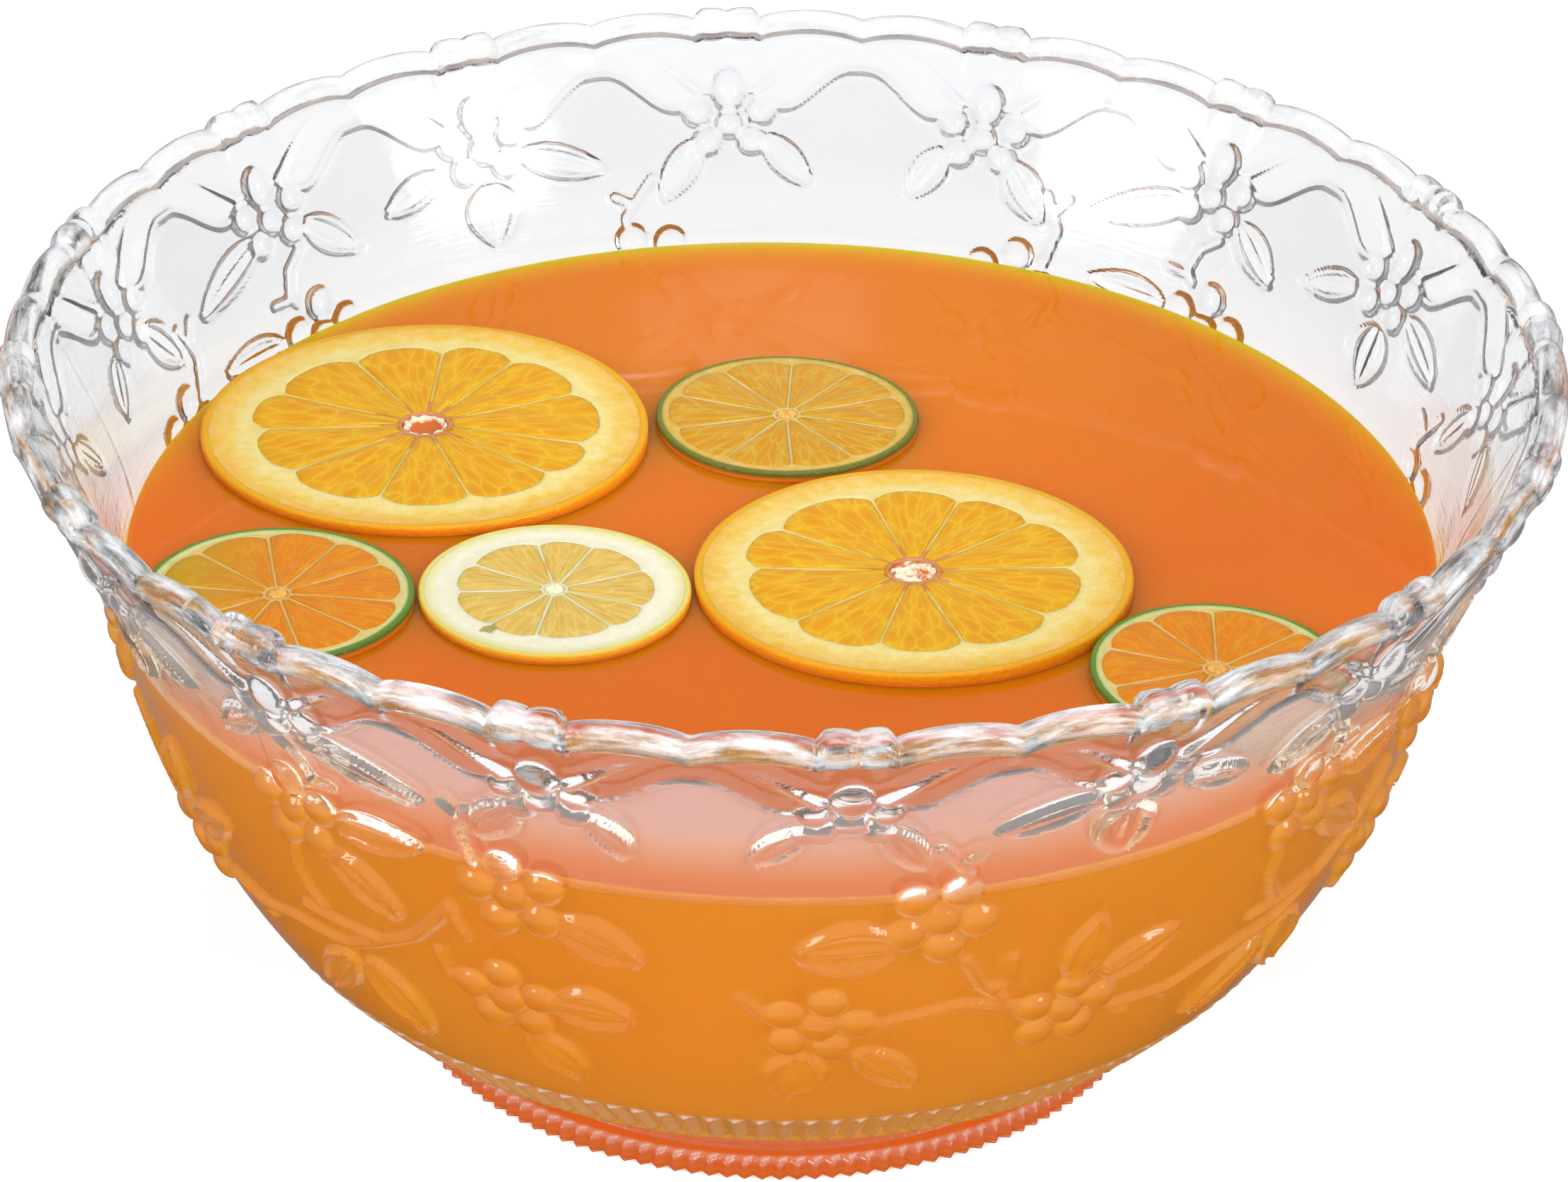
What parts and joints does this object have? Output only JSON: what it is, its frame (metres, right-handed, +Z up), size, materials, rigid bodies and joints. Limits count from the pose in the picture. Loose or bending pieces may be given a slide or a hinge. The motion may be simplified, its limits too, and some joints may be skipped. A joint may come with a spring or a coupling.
{
  "type": "punch bowl",
  "caption": "Clear moulded punch bowl with a scalloped rim, fruit-and-leaf relief and a ribbed foot, filled with orange punch and floating citrus slices.",
  "frame": {"origin": "centre of the foot ring's underside, where the bowl rests on the table", "axes": "+Z up through the bowl's opening, -Y towards the front, +X to the right as seen from the front"},
  "size_m": [0.3, 0.3, 0.1446],
  "materials": {
    "clear_acrylic": "clear, polished moulding",
    "orange_punch": "smooth wet liquid surface",
    "orange_peel": "waxy, wet, finely dimpled",
    "orange_pith": "soft, fibrous",
    "orange_pulp": "wet, juicy, fine veins",
    "lime_peel": "waxy, wet, finely dimpled",
    "lime_pith": "soft, thin",
    "lime_pulp": "wet, fine rays, tinted by the punch",
    "lemon_peel": "waxy, wet",
    "lemon_pith": "soft, fibrous",
    "lemon_pulp": "wet, juicy, fine veins",
    "fruit_core": "soft, fibrous"
  },
  "bodies": {
    "bowl_with_punch": {"bowl": "clear_acrylic", "punch": "orange_punch"},
    "orange_left_slice": {"orange_left_peel": "orange_peel", "orange_left_pith": "orange_pith", "orange_left_segments": "orange_pulp", "orange_left_core": "fruit_core"},
    "orange_right_slice": {"orange_right_peel": "orange_peel", "orange_right_pith": "orange_pith", "orange_right_segments": "orange_pulp", "orange_right_core": "fruit_core"},
    "lime_back_slice": {"lime_back_peel": "lime_peel", "lime_back_pith": "lime_pith", "lime_back_segments": "lime_pulp", "lime_back_core": "fruit_core"},
    "lime_left_slice": {"lime_left_peel": "lime_peel", "lime_left_pith": "lime_pith", "lime_left_segments": "lime_pulp", "lime_left_core": "fruit_core"},
    "lime_right_slice": {"lime_right_peel": "lime_peel", "lime_right_pith": "lime_pith", "lime_right_segments": "lime_pulp", "lime_right_core": "fruit_core"},
    "lemon_slice": {"lemon_peel": "lemon_peel", "lemon_pith": "lemon_pith", "lemon_segments": "lemon_pulp", "lemon_core": "fruit_core"}
  },
  "joints": [
    {"name": "orange_left_lift", "type": "slide", "parent": "bowl_with_punch", "child": "orange_left_slice", "axis": [0, 0, 1], "range_m": [0, 0.06]},
    {"name": "orange_right_lift", "type": "slide", "parent": "bowl_with_punch", "child": "orange_right_slice", "axis": [0, 0, 1], "range_m": [0, 0.06]},
    {"name": "lime_back_lift", "type": "slide", "parent": "bowl_with_punch", "child": "lime_back_slice", "axis": [0, 0, 1], "range_m": [0, 0.06]},
    {"name": "lime_left_lift", "type": "slide", "parent": "bowl_with_punch", "child": "lime_left_slice", "axis": [0, 0, 1], "range_m": [0, 0.06]},
    {"name": "lime_right_lift", "type": "slide", "parent": "bowl_with_punch", "child": "lime_right_slice", "axis": [0, 0, 1], "range_m": [0, 0.06]},
    {"name": "lemon_lift", "type": "slide", "parent": "bowl_with_punch", "child": "lemon_slice", "axis": [0, 0, 1], "range_m": [0, 0.06]}
  ]
}
